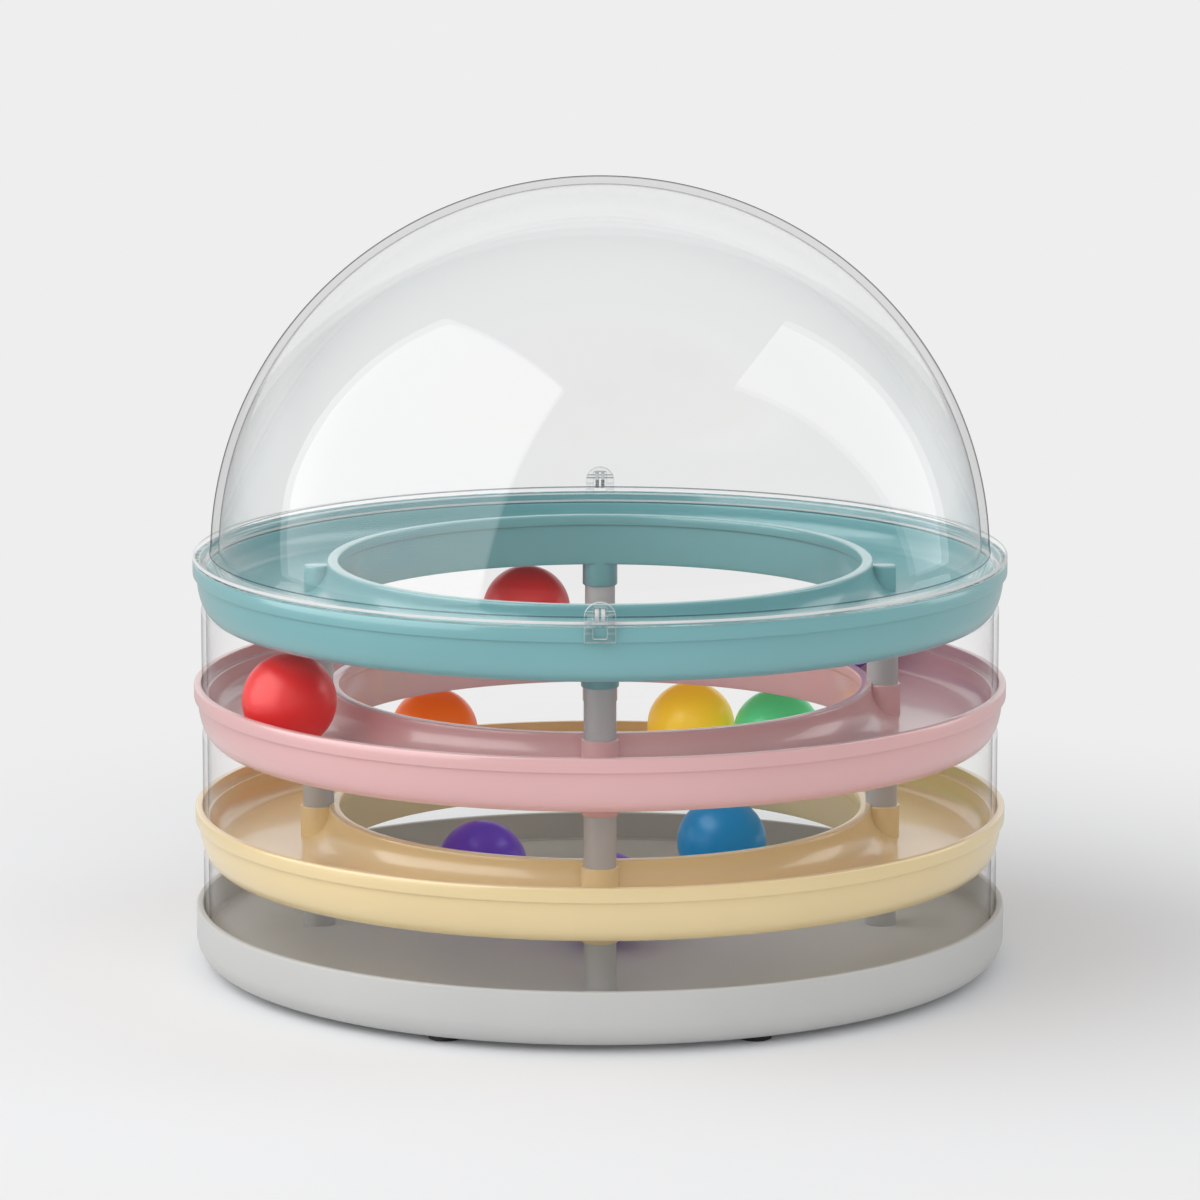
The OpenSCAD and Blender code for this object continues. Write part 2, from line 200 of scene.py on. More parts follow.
# Fineness of the meshes
ROUND_STEPS = 192
DOME_STEPS = 320
ROD_STEPS = 48
POST_STEPS = 64
PIN_STEPS = 32
BALL_STEPS = 96
SKIRT_ARC_STEPS = 16
HOLE_ARC_STEPS = 12
DOME_ARC_STEPS = 110
CLIP_ARC_STEPS = 28
EAR_ARC_STEPS = 20
BALL_ARC_STEPS = 40
CORNER_STEP = 1.4 * MM
CORNER_STEPS_MIN = 3
SHARP_DEG = 32
MERGE_TURNED = 1e-6
MERGE_PLATE = 1e-7
# How far a drill goes past the face that it opens
DRILL_PAST = 1 * MM


# Outlines

def rounded(corners, closed=True):
    """Points of an outline whose corners (x, y, radius) are rounded to their radius."""
    points = []
    count = len(corners)
    for i, (x, y, radius) in enumerate(corners):
        here = Vector((x, y))
        if radius == 0 or (not closed and i in (0, count - 1)):
            points.append((x, y))
            continue
        before = (Vector(corners[i - 1][:2]) - here).normalized()
        after = (Vector(corners[(i + 1) % count][:2]) - here).normalized()
        half = before.angle(after) / 2
        centre = here + (before + after).normalized() * (radius / math.sin(half))
        start = here + before * (radius / math.tan(half)) - centre
        turn = start.angle_signed(here + after * (radius / math.tan(half)) - centre)
        steps = max(CORNER_STEPS_MIN, math.ceil(abs(turn) * radius / CORNER_STEP))
        for s in range(steps + 1):
            spoke = Matrix.Rotation(-turn * s / steps, 2) @ start
            points.append(tuple(centre + spoke))
    return points


def arc(cx, cy, rx, ry, start, end, steps):
    """Corners (x, y, 0) along part of an ellipse, angles in degrees."""
    turns = [math.radians(start + (end - start) * i / steps) for i in range(steps + 1)]
    return [(cx + rx * math.cos(a), cy + ry * math.sin(a), 0) for a in turns]


def flat(corners):
    """Corners without their radii."""
    return [(x, y) for x, y, _ in corners]


def raised(points, height):
    return [(x, y + height) for x, y in points]


def track_outline():
    """Section of a ring track with its rim at height 0."""
    hole_band = -LIP_DROP - HOLE_BAND_H
    skirt = arc(SKIRT_FOOT_R, -BAND_H, SKIRT_ROUND, TRACK_H - BAND_H, *SKIRT_SPAN, SKIRT_ARC_STEPS)
    hole_x = HOLE_WALL_R + HOLE_ROUND
    hole_wall = arc(hole_x, hole_band, HOLE_ROUND, TRACK_H + hole_band, *HOLE_SPAN, HOLE_ARC_STEPS)
    return rounded(
        skirt
        + [
            (SKIRT_TOP_R, -BAND_H, BAND_CORNER_R),
            (TOWER_R, -BAND_H, BAND_EDGE_R),
            (TOWER_R, 0, EDGE_R),
            (REBATE_R, 0, SEAT_EDGE_R),
            (REBATE_R, -SEAT_DEPTH, SEAT_CORNER_R),
            (CHANNEL_R, -SEAT_DEPTH, SEAT_CORNER_R),
            (CHANNEL_R, -CHANNEL_DEPTH, OUTER_COVE_R),
            (LIP_OUT_R, -CHANNEL_DEPTH, INNER_COVE_R),
            (LIP_OUT_R, -LIP_DROP, EDGE_R),
            (HOLE_R, -LIP_DROP, EDGE_R),
            (HOLE_R, hole_band, HOLE_EDGE_R),
            (HOLE_WALL_R, hole_band, HOLE_CORNER_R),
        ]
        + hole_wall
        + [
            (HOLLOW_IN_R, -TRACK_H, UNDER_EDGE_R),
            (HOLLOW_IN_R, -POST_TOP, UNDER_CORNER_R),
            (HOLLOW_OUT_R, -POST_TOP, UNDER_CORNER_R),
            (HOLLOW_OUT_R, -TRACK_H, UNDER_EDGE_R),
        ]
    )


def base_outline():
    """Section of the base tray, from its underside round to its floor."""
    recess_r = TOWER_R - BASE_RING_W
    return rounded(
        [
            (0, BASE_FLOOR - BASE_FLOOR_T, 0),
            (recess_r, BASE_FLOOR - BASE_FLOOR_T, UNDER_CORNER_R),
            (recess_r, BASE_LOW, UNDER_CORNER_R),
            (TOWER_R, BASE_LOW, BASE_ROUND),
            (TOWER_R, BASE_RIM, EDGE_R),
            (REBATE_R, BASE_RIM, BASE_SEAT_EDGE_R),
            (REBATE_R, BASE_RIM - BASE_SEAT, SEAT_CORNER_R),
            (CHANNEL_R, BASE_RIM - BASE_SEAT, FLOOR_EDGE_R),
            (CHANNEL_R, BASE_FLOOR, FLOOR_CORNER_R),
            (0, BASE_FLOOR, 0),
        ],
        closed=False,
    )


def dome_outline():
    """Section of the dome, its skirt and its flange, from the inside of the top outwards."""
    start = math.degrees(math.asin(FLANGE_T / DOME_RISE))
    inner = arc(0, TEAL_RIM, DOME_R - DOME_T, DOME_RISE - DOME_T, 90, 0, DOME_ARC_STEPS)
    outer = arc(0, TEAL_RIM, DOME_R, DOME_RISE, start, 90, DOME_ARC_STEPS)
    skirt_low = TEAL_RIM - SEAT_DEPTH + SKIRT_GAP
    skirt_out_r = REBATE_R - DOME_GAP
    return rounded(
        inner
        + [
            (SLEEVE_IN_R, TEAL_RIM, DOME_LOW_EDGE_R),
            (SLEEVE_IN_R, skirt_low, SKIRT_EDGE_R),
            (skirt_out_r, skirt_low, SKIRT_EDGE_R),
            (skirt_out_r, TEAL_RIM, SKIRT_CORNER_R),
            (TOWER_R, TEAL_RIM, FLANGE_LOW_EDGE_R),
            (TOWER_R, FLANGE_TOP, EDGE_R),
            (DOME_R + DOME_FOOT_W, FLANGE_TOP, DOME_FOOT_R),
        ]
        + outer[1:],
        closed=False,
    )


def sleeve_outline(node):
    """Section of a clear wall."""
    low, high = (corner.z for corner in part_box(node))
    return rounded(
        [
            (SLEEVE_IN_R, low, SLEEVE_EDGE_R),
            (SLEEVE_OUT_R, low, SLEEVE_EDGE_R),
            (SLEEVE_OUT_R, high, SLEEVE_EDGE_R),
            (SLEEVE_IN_R, high, SLEEVE_EDGE_R),
        ]
    )


# Geometry Nodes

def new_tree(name, inputs):
    """An empty node tree with a geometry input and output and the named inputs between them."""
    tree = bpy.data.node_groups.new(name, "GeometryNodeTree")
    tree.interface.new_socket("Geometry", in_out="INPUT", socket_type="NodeSocketGeometry")
    for label, kind in inputs:
        tree.interface.new_socket(label, in_out="INPUT", socket_type=f"NodeSocket{kind}")
    tree.interface.new_socket("Geometry", in_out="OUTPUT", socket_type="NodeSocketGeometry")
    return tree, tree.nodes.new("NodeGroupInput").outputs, tree.nodes.new("NodeGroupOutput").inputs


def add(tree, kind, links=None, **settings):
    """A node with its settings, whose inputs take a socket or a plain value each."""
    node = tree.nodes.new(kind)
    for key, value in settings.items():
        setattr(node, key, value)
    for key, value in (links or {}).items():
        if isinstance(value, bpy.types.NodeSocket):
            tree.links.new(value, node.inputs[key])
        else:
            node.inputs[key].default_value = value
    return node


def whole(tree, operation, a, b):
    """A sum with whole numbers."""
    return add(tree, "FunctionNodeIntegerMath", {0: a, 1: b}, operation=operation).outputs[0]


def maths(tree, operation, a, b=0.0):
    """A sum with plain numbers."""
    return add(tree, "ShaderNodeMath", {0: a, 1: b}, operation=operation).outputs[0]


def circle(tree, count, radius):
    """Points evenly spaced round the Z axis."""
    return add(tree, "GeometryNodeMeshCircle", {"Vertices": count, "Radius": radius}).outputs[0]


def copies_on(tree, points, shape):
    """A copy of a shape on each point."""
    return add(tree, "GeometryNodeInstanceOnPoints", {"Points": points, "Instance": shape}).outputs[0]


def made_real(tree, geometry):
    return add(tree, "GeometryNodeRealizeInstances", {0: geometry}).outputs[0]


def end_tree(tree, geometry, given, out):
    """Realizes the instances, sets the material and ends the tree."""
    real = made_real(tree, geometry)
    done = add(tree, "GeometryNodeSetMaterial", {"Geometry": real, "Material": given["Material"]})
    tree.links.new(done.outputs[0], out["Geometry"])


def turned_tree():
    """Turns a half section, drawn in the XZ plane, about the Z axis."""
    inputs = [("Steps", "Int"), ("Closed", "Int"), ("Material", "Material")]
    tree, given, out = new_tree("turned_moulding", inputs)
    section = given["Geometry"]
    size = add(tree, "GeometryNodeAttributeDomainSize", {"Geometry": section}, component="MESH")
    count = size.outputs["Point Count"]
    rows = whole(tree, "ADD", given["Steps"], 1)
    columns = whole(tree, "ADD", count, given["Closed"])
    grid = add(tree, "GeometryNodeMeshGrid", {"Vertices X": columns, "Vertices Y": rows}).outputs[0]
    index = add(tree, "GeometryNodeInputIndex").outputs[0]
    column = whole(tree, "MODULO", whole(tree, "DIVIDE_FLOOR", index, rows), count)
    place = add(tree, "GeometryNodeInputPosition").outputs[0]
    sample = add(
        tree,
        "GeometryNodeSampleIndex",
        {"Geometry": section, "Value": place, "Index": column},
        data_type="FLOAT_VECTOR",
        domain="POINT",
    )
    spot = add(tree, "ShaderNodeSeparateXYZ", {0: sample.outputs[0]}).outputs
    step = maths(tree, "DIVIDE", 2 * math.pi, given["Steps"])
    turn = maths(tree, "MULTIPLY", whole(tree, "MODULO", index, rows), step)
    across = maths(tree, "MULTIPLY", spot["X"], maths(tree, "COSINE", turn))
    along = maths(tree, "MULTIPLY", spot["X"], maths(tree, "SINE", turn))
    where = add(tree, "ShaderNodeCombineXYZ", {"X": across, "Y": along, "Z": spot["Z"]}).outputs[0]
    swept = add(tree, "GeometryNodeSetPosition", {"Geometry": grid, "Position": where}).outputs[0]
    merge = {"Geometry": swept, "Distance": MERGE_TURNED}
    end_tree(tree, add(tree, "GeometryNodeMergeByDistance", merge).outputs[0], given, out)
    return tree


def fitted_tree(name, operation, body_input):
    """Joins a ring of copies of a shape to a moulding, or cuts them out of it."""
    inputs = [("Shape", "Object"), ("Count", "Int"), ("Ring radius", "Float"), ("Material", "Material")]
    tree, given, out = new_tree(name, inputs)
    shape = add(tree, "GeometryNodeObjectInfo", {"Object": given["Shape"]}, transform_space="ORIGINAL")
    spots = circle(tree, given["Count"], given["Ring radius"])
    copies = made_real(tree, copies_on(tree, spots, shape.outputs["Geometry"]))
    both = add(tree, "GeometryNodeMeshBoolean", operation=operation, solver="MANIFOLD")
    tree.links.new(given["Geometry"], both.inputs[body_input])
    tree.links.new(copies, both.inputs["Mesh 2"])
    end_tree(tree, both.outputs["Mesh"], given, out)
    return tree


def ring_tree():
    """A ring of copies of one shape."""
    inputs = [("Count", "Int"), ("Ring radius", "Float"), ("Material", "Material")]
    tree, given, out = new_tree("ring_of_pieces", inputs)
    spots = circle(tree, given["Count"], given["Ring radius"])
    end_tree(tree, copies_on(tree, spots, given["Geometry"]), given, out)
    return tree


def row_tree():
    """A straight row of copies of one shape, one step apart."""
    inputs = [("Count", "Int"), ("Step", "Vector"), ("Material", "Material")]
    tree, given, out = new_tree("row_of_ribs", inputs)
    line = {"Count": given["Count"], "Offset": given["Step"]}
    spots = add(tree, "GeometryNodeMeshLine", line, mode="OFFSET").outputs[0]
    end_tree(tree, copies_on(tree, spots, given["Geometry"]), given, out)
    return tree


TURNED = turned_tree()
FITTED = fitted_tree("moulding_with_fittings", "UNION", "Mesh 2")
BORED = fitted_tree("moulding_with_bores", "DIFFERENCE", "Mesh 1")
RING = ring_tree()
ROW = row_tree()


# Making pieces

def new_object(name, data):
    obj = bpy.data.objects.new(name, data)
    bpy.context.scene.collection.objects.link(obj)
    return obj


def discard(*objects):
    for obj in objects:
        bpy.data.objects.remove(obj)


def evaluated_mesh(obj):
    """A plain mesh of an object as its modifiers or its curve make it."""
    bpy.context.view_layer.update()
    return bpy.data.meshes.new_from_object(obj.evaluated_get(bpy.context.evaluated_depsgraph_get()))


def grow(obj, tree, **sizes):
    """Runs a node tree on an object and leaves its result as the object's plain mesh."""
    modifier = obj.modifiers.new(tree.name, "NODES")
    modifier.node_group = tree
    for item in tree.interface.items_tree:
        key = item.name.lower().replace(" ", "_")
        if item.in_out == "INPUT" and key in sizes:
            modifier[item.identifier] = sizes[key]
    made = evaluated_mesh(obj)
    obj.modifiers.clear()
    obj.data = made
    return obj


def smooth(obj):
    """Faces outwards, smooth shading, and sharp edges where faces meet at a large angle."""
    work = bmesh.new()
    work.from_mesh(obj.data)
    bmesh.ops.recalc_face_normals(work, faces=work.faces)
    work.to_mesh(obj.data)
    work.free()
    obj.data.shade_smooth()
    obj.data.set_sharp_from_angle(angle=math.radians(SHARP_DEG))
    return obj


def moved(obj, matrix):
    """The object with its mesh moved to its place."""
    obj.data.transform(matrix)
    return obj


def joined(name, *objects):
    """One object that holds the meshes of several, which are removed."""
    work = bmesh.new()
    for obj in objects:
        work.from_mesh(obj.data)
    mesh = bpy.data.meshes.new(name)
    work.to_mesh(mesh)
    work.free()
    for material in objects[0].data.materials:
        mesh.materials.append(material)
    discard(*objects)
    return smooth(new_object(name, mesh))


def turned(name, outline, material, closed=True, steps=ROUND_STEPS):
    """A piece turned from its half section."""
    mesh = bpy.data.meshes.new(name)
    ends = [(i, i + 1) for i in range(len(outline) - 1)]
    mesh.from_pydata([(x, 0, y) for x, y in outline], ends, [])
    return smooth(grow(new_object(name, mesh), TURNED, steps=steps, closed=int(closed), material=material))


def rod(name, radius, low, high, material, low_edge=0, high_edge=0, steps=ROD_STEPS):
    """An upright rod on the Z axis, its ends rounded where an edge radius is given."""
    corners = [(0, low, 0), (radius, low, low_edge), (radius, high, high_edge), (0, high, 0)]
    return turned(name, rounded(corners, closed=False), material, closed=False, steps=steps)


def plate(name, outline, holes, depth, material, bevel):
    """A flat plate in the XY plane with softened edges, its thickness centred on Z."""
    curve = bpy.data.curves.new(name, "CURVE")
    curve.dimensions = "2D"
    curve.fill_mode = "BOTH"
    curve.extrude = depth / 2 - bevel
    curve.bevel_depth = bevel
    curve.bevel_resolution = 1
    curve.offset = -bevel
    for points in [outline] + holes:
        spline = curve.splines.new("POLY")
        spline.points.add(len(points) - 1)
        for point, (x, y) in zip(spline.points, points):
            point.co = (x, y, 0, 1)
        spline.use_cyclic_u = True
    source = new_object(name, curve)
    mesh = evaluated_mesh(source)
    discard(source)
    work = bmesh.new()
    work.from_mesh(mesh)
    bmesh.ops.remove_doubles(work, verts=work.verts, dist=MERGE_PLATE)
    work.to_mesh(mesh)
    work.free()
    mesh.materials.clear()
    mesh.materials.append(material)
    return new_object(name, mesh)


def place_on(obj, body, slot, *nodes):
    """The piece rides on its body and stands for its nodes; the slot is not used."""
    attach(obj, body)
    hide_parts(*nodes)


# Materials

def new_material(name):
    """An empty material, its node tree and its output."""
    material = bpy.data.materials.new(name)
    material.use_nodes = True
    tree = material.node_tree
    tree.nodes.clear()
    return material, tree, add(tree, "ShaderNodeOutputMaterial")


def linear(*srgb):
    """Linear colour from an sRGB colour of 0 to 255 per channel."""
    parts = [c / 255 for c in srgb]
    return tuple(c / 12.92 if c <= 0.04045 else ((c + 0.055) / 1.055) ** 2.4 for c in parts) + (1.0,)


def scaled(colour, share):
    """A colour made dimmer or brighter."""
    return tuple(min(1, c * share) for c in colour[:3]) + (1,)


def object_place(tree):
    """Where a point lies, in the piece's own coordinates, which are the frame's."""
    return add(tree, "ShaderNodeTexCoord").outputs["Object"]


def height_of(tree):
    return add(tree, "ShaderNodeSeparateXYZ", {0: object_place(tree)}).outputs["Z"]


def vector_maths(tree, operation, a, b=(0, 0, 0)):
    return add(tree, "ShaderNodeVectorMath", {0: a, 1: b}, operation=operation).outputs


def noise(tree, scale, detail=3):
    """A smooth random pattern from 0 to 1."""
    links = {"Vector": object_place(tree), "Scale": scale, "Detail": detail}
    return add(tree, "ShaderNodeTexNoise", links).outputs["Fac"]


def ramp(tree, value, start, end, low=0.0, high=1.0, kind="LINEAR"):
    """Goes from low to high while the value goes from start to end."""
    links = {"Value": value, "From Min": start, "From Max": end, "To Min": low, "To Max": high}
    return add(tree, "ShaderNodeMapRange", links, interpolation_type=kind).outputs["Result"]


def spread(tree, value, low, high):
    """Goes from low to high while the value goes from 0 to 1."""
    return ramp(tree, value, 0.0, 1.0, low, high)


def blend(tree, factor, first, second):
    """A colour between two others."""
    mix = add(tree, "ShaderNodeMix", {"Factor": factor, "A": first, "B": second}, data_type="RGBA")
    return [socket for socket in mix.outputs if socket.type == "RGBA"][0]


def mix_shaders(tree, factor, first, second):
    return add(tree, "ShaderNodeMixShader", {"Fac": factor, 1: first, 2: second}).outputs[0]


# Painted glow: light that the plastic gives off though it is no lamp
PLASTIC_PAINTED_GLOW = 0.08
CLOUD_DIM = 0.93
CLOUD_BRIGHT = 1.05
GLOSS_SPREAD = 0.05
GRAIN_STRENGTH = 0.02
GRAIN_HEIGHT = 0.4 * MM
COAT_ROUGH = 0.1
RUBBER_DARK = (0.012, 0.012, 0.013, 1)
RUBBER_WORN = (0.03, 0.03, 0.031, 1)
RUBBER_ROUGH = (0.6, 0.8)


def plastic(name, colour, rough, glow=PLASTIC_PAINTED_GLOW, coat=0.0, shine=0.5):
    """Moulded plastic: faintly cloudy, unevenly glossy, finely grained, with a faint painted glow in its
    own colour that brightens it where it lies in shade.
    """
    material, tree, out = new_material(name)
    tint = blend(tree, noise(tree, scale=14), scaled(colour, CLOUD_DIM), scaled(colour, CLOUD_BRIGHT))
    height = noise(tree, scale=1600, detail=2)
    grain = {"Strength": GRAIN_STRENGTH, "Distance": GRAIN_HEIGHT, "Height": height}
    shader = add(
        tree,
        "ShaderNodeBsdfPrincipled",
        {
            "Base Color": tint,
            "Roughness": spread(tree, noise(tree, scale=45), rough - GLOSS_SPREAD, rough + GLOSS_SPREAD),
            "Specular IOR Level": shine,
            "Emission Color": tint,
            "Emission Strength": glow,
            "Coat Weight": coat,
            "Coat Roughness": COAT_ROUGH,
            "Normal": add(tree, "ShaderNodeBump", grain).outputs[0],
        },
    )
    tree.links.new(shader.outputs[0], out.inputs["Surface"])
    return material


def rubber(name):
    """Black rubber with a rough skin."""
    material, tree, out = new_material(name)
    tint = blend(tree, noise(tree, scale=120), RUBBER_DARK, RUBBER_WORN)
    grain = {"Strength": 0.2, "Distance": 0.3 * MM, "Height": noise(tree, scale=900)}
    shader = add(
        tree,
        "ShaderNodeBsdfPrincipled",
        {
            "Base Color": tint,
            "Roughness": spread(tree, noise(tree, scale=200), *RUBBER_ROUGH),
            "Normal": add(tree, "ShaderNodeBump", grain).outputs[0],
        },
    )
    tree.links.new(shader.outputs[0], out.inputs["Surface"])
    return material


# Where the finish of the dome and of the clips changes, and where their painted highlight and painted
# shade lie
FLANGE_ZONE_TOP = FLANGE_TOP + 0.3 * MM
FOOT_LINE_TOP = FLANGE_TOP + 0.8 * MM
RIM_LINE_R = TOWER_R - 0.7 * MM
RIM_LINE_LOW = FLANGE_TOP - 0.9 * MM
SKIRT_LINE_TOP = TEAL_RIM - 3 * MM
CLIP_SIDE_FACING = 0.8
# How far the dome's outer face is turned away where its inner face has its outline
WALL_FACING = 1 - math.sqrt(1 - (1 - DOME_T / DOME_R) ** 2)


def flange_mask(tree):
    """1 on the dome's flange and skirt."""
    return maths(tree, "LESS_THAN", height_of(tree), FLANGE_ZONE_TOP)


def shell_mask(tree):
    """1 on the outer face of the dome above its flange, and on the ears outside it."""
    centred = vector_maths(tree, "SUBTRACT", object_place(tree), (0, 0, TEAL_RIM))["Vector"]
    as_sphere = vector_maths(tree, "MULTIPLY", centred, (1, 1, DOME_R / DOME_RISE))["Vector"]
    reach = vector_maths(tree, "LENGTH", as_sphere)["Value"]
    above = maths(tree, "SUBTRACT", 1.0, flange_mask(tree))
    return maths(tree, "MULTIPLY", above, maths(tree, "GREATER_THAN", reach, DOME_R - DOME_T / 2))


def foot_shade_mask(tree):
    """1 on the lowest strip of the dome's outer face, above its flange, where painted shade goes."""
    low = maths(tree, "LESS_THAN", height_of(tree), FOOT_LINE_TOP)
    return maths(tree, "MULTIPLY", shell_mask(tree), low)


def rim_highlight_mask(tree):
    """1 on the upper edge of the dome's flange and on the lower edge of its skirt, where the dome gets its
    painted highlight.
    """
    level = vector_maths(tree, "MULTIPLY", object_place(tree), (1, 1, 0))["Vector"]
    outside = maths(tree, "GREATER_THAN", vector_maths(tree, "LENGTH", level)["Value"], RIM_LINE_R)
    above = maths(tree, "GREATER_THAN", height_of(tree), RIM_LINE_LOW)
    under = maths(tree, "LESS_THAN", height_of(tree), SKIRT_LINE_TOP)
    return maths(tree, "MAXIMUM", maths(tree, "MULTIPLY", outside, above), under)


def side_highlight_mask(tree):
    """1 on the faces of a clip that look neither to the front nor to the rear, where the clip gets its
    painted highlight.
    """
    facing = add(tree, "ShaderNodeTexCoord").outputs["Normal"]
    along = maths(tree, "ABSOLUTE", add(tree, "ShaderNodeSeparateXYZ", {0: facing}).outputs["Y"])
    return maths(tree, "LESS_THAN", along, CLIP_SIDE_FACING)


OUTLINE_END = 0.98
FLANGE_OUTLINE = 0.05
FLANGE_MIRROR = 0.6
WALL_BAND_SHADE = 0.13
WALL_BAND_MIRROR = 0.3
# Painted shade along the corner where the dome meets its flange
FOOT_SHADE = 0.65
# Painted highlight on the clear cut edges: matt white, and the rest a dimmed see-through line
PAINTED_HIGHLIGHT_WHITE = (0.85, 0.85, 0.85, 1)
PAINTED_EDGE_DIM = (0.25, 0.25, 0.26, 1)
POLISH_ROUGH = (0.004, 0.012)


def clear_plastic(
    name,
    tint,
    edge_tint,
    mirror,
    power,
    edge=0.84,
    cut=None,
    highlight_share=0.0,
    flange=None,
    wall=None,
    foot=None,
):
    """Clear plastic: it mirrors more and lets less light through the more it is seen edge on.

    It mirrors the first share of the light seen face on, and the second seen edge on.
    Its outline starts where the plastic is turned away by the edge value, 1 being fully.
    Where the mask of the cut edges is 1 it has a painted highlight: partly matt white, and else dimmed.
    Where the flange mask is 1 it mirrors less and has hardly an outline.
    Where the wall mask is 1 the thickness of the wall shows as a pale grey band along the outline.
    Where the foot mask is 1 it has painted shade, along the corner where the dome meets its flange.
    """
    material, tree, out = new_material(name)
    facing = add(tree, "ShaderNodeLayerWeight", {"Blend": 0.5}).outputs["Facing"]
    outline = ramp(tree, facing, edge, OUTLINE_END, kind="SMOOTHSTEP")
    grazing = spread(tree, maths(tree, "POWER", facing, power), *mirror)
    if flange:
        outline = maths(tree, "MULTIPLY", outline, spread(tree, flange(tree), 1.0, FLANGE_OUTLINE))
        grazing = maths(tree, "MULTIPLY", grazing, spread(tree, flange(tree), 1.0, FLANGE_MIRROR))
    if wall:
        band = maths(tree, "MULTIPLY", wall(tree), maths(tree, "GREATER_THAN", facing, WALL_FACING))
        outline = maths(tree, "MAXIMUM", outline, maths(tree, "MULTIPLY", band, WALL_BAND_SHADE))
        grazing = maths(tree, "MULTIPLY", grazing, spread(tree, band, 1.0, WALL_BAND_MIRROR))
    if foot:
        outline = maths(tree, "MAXIMUM", outline, maths(tree, "MULTIPLY", foot(tree), FOOT_SHADE))
    through = add(tree, "ShaderNodeBsdfTransparent", {"Color": blend(tree, outline, tint, edge_tint)})
    polish = {"Color": (1, 1, 1, 1), "Roughness": spread(tree, noise(tree, scale=30), *POLISH_ROUGH)}
    gloss = add(tree, "ShaderNodeBsdfGlossy", polish)
    mirrored = maths(tree, "MULTIPLY", grazing, maths(tree, "SUBTRACT", 1.0, outline))
    surface = mix_shaders(tree, mirrored, through.outputs[0], gloss.outputs[0])
    # Painted highlight along the cut edges
    if cut:
        white = add(tree, "ShaderNodeBsdfDiffuse", {"Color": PAINTED_HIGHLIGHT_WHITE})
        dim = add(tree, "ShaderNodeBsdfTransparent", {"Color": PAINTED_EDGE_DIM})
        edges = mix_shaders(tree, highlight_share, dim.outputs[0], white.outputs[0])
        surface = mix_shaders(tree, cut(tree), surface, edges)
    tree.links.new(surface, out.inputs["Surface"])
    return material


TRACK_FINISH = {
    "teal": plastic("teal_moulding", linear(112, 164, 168), rough=0.3, coat=0.6),
    "pink": plastic("pink_moulding", linear(212, 166, 166), rough=0.3, coat=0.6),
    "yellow": plastic("yellow_moulding", linear(220, 198, 150), rough=0.3, coat=0.6),
}
BASE_FINISH = plastic("grey_moulding", linear(188, 188, 187), rough=0.6, shine=0.15)
POST_FINISH = plastic("post_grey", linear(176, 176, 176), rough=0.42)
FOOT_FINISH = rubber("black_rubber")
WALL_FINISH = clear_plastic(
    "clear_wall",
    tint=(0.998, 0.998, 0.998, 1),
    edge_tint=(0.7, 0.7, 0.71, 1),
    mirror=(0.003, 0.6),
    power=8.0,
)
DOME_FINISH = clear_plastic(
    "clear_dome",
    tint=(0.998, 0.998, 0.998, 1),
    edge_tint=(0.25, 0.255, 0.26, 1),
    mirror=(0.02, 1.0),
    power=5.0,
    edge=0.88,
    cut=rim_highlight_mask,
    highlight_share=0.75,
    flange=flange_mask,
    wall=shell_mask,
    foot=foot_shade_mask,
)
CLIP_FINISH = clear_plastic(
    "clear_clip",
    tint=(0.985, 0.987, 0.988, 1),
    edge_tint=(0.6, 0.61, 0.62, 1),
    mirror=(0.03, 0.9),
    power=5.0,
    cut=side_highlight_mask,
    highlight_share=0.7,
)
# Each colour of ball and the strength of its painted glow, which brightens it in the tower's shade
BALLS = {
    "red": (linear(226, 46, 46), 0.1),
    "orange": (linear(238, 110, 28), 0.2),
    "yellow": (linear(252, 208, 56), 0.26),
    "green": (linear(86, 210, 138), 0.26),
    "blue": (linear(4, 128, 184), 0.18),
    "violet": (linear(100, 56, 184), 0.1),
}
BALL_ROUGH = 0.32
BALL_FINISH = {name: plastic(f"ball_{name}", rgb, BALL_ROUGH, glow) for name, (rgb, glow) in BALLS.items()}


# Pieces of the tower

def base():
    """The base tray with the sockets for the lowest posts."""
    tray = turned("base_dish", base_outline(), BASE_FINISH, closed=False)
    drill = rod("drill", BORE_R, BASE_FLOOR - POST_SINK, BASE_FLOOR + DRILL_PAST, BASE_FINISH)
    grow(tray, BORED, shape=drill, count=POST_COUNT, ring_radius=POST_RING_R, material=BASE_FINISH)
    discard(drill)
    smooth(tray)
    place_on(tray, "tower", "base_grey", "base_tray")


def feet():
    """The rubber feet under the base tray."""
    for node in [f"foot_{i + 1}" for i in range(FOOT_COUNT)]:
        low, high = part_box(node)
        foot = rod(f"rubber_{node}", FOOT_R - FOOT_GAP, low.z, high.z, FOOT_FINISH, low_edge=FOOT_EDGE_R)
        middle = (low + high) / 2
        moved(foot, Matrix.Translation((middle.x, middle.y, 0)))
        place_on(foot, "tower", "foot_rubber", node)


def post_grip(rim, finish, capped):
    """The collar under a track for the post below it, with a socket or a cap on top."""
    collar_low = rim - COLLAR_REACH
    low = [(0, collar_low, 0), (SOCKET_R, collar_low, COLLAR_EDGE_R)]
    if capped:
        step = rim - CHANNEL_DEPTH - WEB_T / 2
        top = rim - CAP_DROP
        high = [(SOCKET_R, step, 0), (CAP_R, step, 0), (CAP_R, top, CAP_EDGE_R), (0, top, 0)]
    else:
        top = rim - SOCKET_DROP
        high = [(SOCKET_R, top, SOCKET_EDGE_R), (0, top, 0)]
    return turned("post_grip", rounded(low + high, closed=False), finish, closed=False, steps=ROD_STEPS)


def post_drill(rim, finish, capped):
    """The shape of the bores in a grip: one from below and, in a socket, one from above."""
    lower = rod("drill", BORE_R, rim - COLLAR_REACH - DRILL_PAST, rim - POST_TOP, finish)
    if capped:
        return lower
    upper = rod("upper_drill", BORE_R, rim - SOCKET_DROP - SOCKET_DEPTH, rim + DRILL_PAST, finish)
    return joined("drills", lower, upper)


